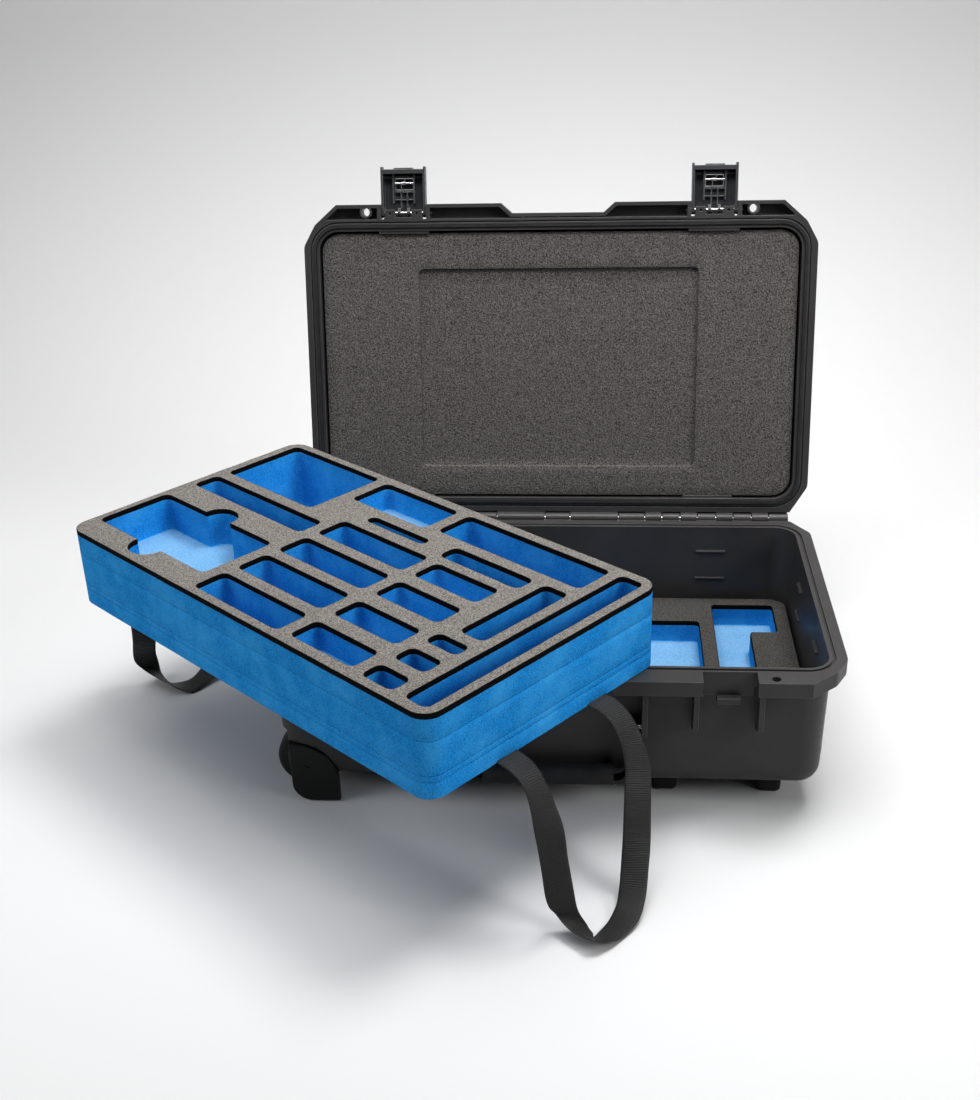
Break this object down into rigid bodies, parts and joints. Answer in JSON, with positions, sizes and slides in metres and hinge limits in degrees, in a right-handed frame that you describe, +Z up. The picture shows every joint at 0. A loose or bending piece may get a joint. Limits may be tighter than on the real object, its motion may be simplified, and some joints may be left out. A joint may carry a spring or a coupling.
{
  "type": "hard equipment case",
  "caption": "Open hard equipment case with latches, hinged foam-lined lid, wheels, pull handle and a foam organiser tray with lifting straps resting across its rim.",
  "frame": {"origin": "on the floor, under the middle of the case's cavity", "axes": "+Z up; +X along the case, away from the wheels and towards the pull handle's grip; +Y from the latches to the hinge"},
  "size_m": [0.7482, 0.6523, 0.5325],
  "materials": {
    "shell": "satin moulded charcoal",
    "cover": "satin moulded charcoal",
    "fitting": "satin black",
    "latch": "satin charcoal",
    "button": "satin black",
    "grip_rubber": "ribbed soft grip",
    "rubber": "matte",
    "tyre": "matte",
    "hub": "satin",
    "steel": "bright drawn",
    "tube": "satin anodised",
    "foam_blue": "cut closed-cell foam, azure blue",
    "foam_skin": "cut closed-cell foam, dark grey top layer",
    "foam_grey": "open-cell foam, charcoal",
    "webbing": "woven black webbing"
  },
  "bodies": {
    "base": {"base_shell": "shell", "hinge_pin": "steel", "bottom_foam_floor": "foam_blue", "bottom_foam": "foam_blue", "bottom_foam_skin": "foam_skin", "feet": "rubber", "wheel_cover_front": "cover", "wheel_cover_rear": "cover", "wheel_axles": "fitting", "handle_channel": "cover", "channel_screws": "steel", "outer_tubes": "tube", "tube_collars": "fitting", "pressure_valve": "fitting", "handle_pins": "steel"},
    "lid": {"lid_shell": "shell", "lid_gasket": "rubber", "lid_foam": "foam_grey", "latch_pivots": "steel"},
    "tray": {"tray_foam_floor": "foam_blue", "tray_foam_lower": "foam_blue", "tray_foam_middle": "foam_blue", "tray_foam_upper": "foam_blue", "tray_skin": "foam_skin", "strap_runs": "webbing", "tray_strap_left": "webbing", "tray_strap_right": "webbing"},
    "latch_left": {"latch_left": "latch", "latch_pin_left": "steel", "latch_spring_left": "steel"},
    "latch_right": {"latch_right": "latch", "latch_pin_right": "steel", "latch_spring_right": "steel"},
    "button_left": {"latch_button_left": "button"},
    "button_right": {"latch_button_right": "button"},
    "front_handle": {"front_handle": "fitting", "handle_grip": "grip_rubber"},
    "middle_stage": {"stage_tubes": "tube"},
    "pull_handle": {"grip_tubes": "tube", "pull_grip": "fitting"},
    "release": {"release_button": "button"},
    "wheel_front": {"wheel_hub_front": "hub", "wheel_tyre_front": "tyre"},
    "wheel_rear": {"wheel_hub_rear": "hub", "wheel_tyre_rear": "tyre"}
  },
  "joints": [
    {"name": "lid_hinge", "type": "hinge", "parent": "base", "child": "lid", "pos_m": [0, 0.169, 0.16], "axis": [1, 0, 0], "range_deg": [0, 102.6]},
    {"name": "tray_slide", "type": "slide", "parent": "base", "child": "tray", "axis": [-0.6606, -0.7507, 0], "range_m": [0, 0.36]},
    {"name": "latch_left_hinge", "type": "hinge", "parent": "lid", "child": "latch_left", "pos_m": [-0.166, 0.25075, 0.48448], "axis": [1, 0, 0], "range_deg": [0, 90]},
    {"name": "latch_right_hinge", "type": "hinge", "parent": "lid", "child": "latch_right", "pos_m": [0.166, 0.25075, 0.48448], "axis": [1, 0, 0], "range_deg": [0, 90]},
    {"name": "button_left_press", "type": "slide", "parent": "latch_left", "child": "button_left", "axis": [0, -0.9759, 0.2181], "range_m": [0, 0.0012], "stiffness_N_per_m": 400},
    {"name": "button_right_press", "type": "slide", "parent": "latch_right", "child": "button_right", "axis": [0, -0.9759, 0.2181], "range_m": [0, 0.0012], "stiffness_N_per_m": 400},
    {"name": "front_handle_swing", "type": "hinge", "parent": "base", "child": "front_handle", "pos_m": [0, -0.158, 0.101], "axis": [-1, 0, 0], "range_deg": [0, 90]},
    {"name": "middle_stage_slide", "type": "slide", "parent": "base", "child": "middle_stage", "axis": [1, 0, 0], "range_m": [0, 0.3]},
    {"name": "pull_handle_slide", "type": "slide", "parent": "middle_stage", "child": "pull_handle", "axis": [1, 0, 0], "range_m": [0, 0.3]},
    {"name": "release_press", "type": "slide", "parent": "pull_handle", "child": "release", "axis": [-1, 0, 0], "range_m": [0, 0.0025], "stiffness_N_per_m": 400},
    {"name": "wheel_front_spin", "type": "hinge", "parent": "base", "child": "wheel_front", "pos_m": [-0.233, -0.129, 0.044], "axis": [0, 1, 0], "continuous": true},
    {"name": "wheel_rear_spin", "type": "hinge", "parent": "base", "child": "wheel_rear", "pos_m": [-0.233, 0.129, 0.044], "axis": [0, 1, 0], "continuous": true}
  ],
  "couplings": [
    {"joint": "tray_slide", "follows": "lid_hinge", "m_per_rad": 0.2}
  ]
}
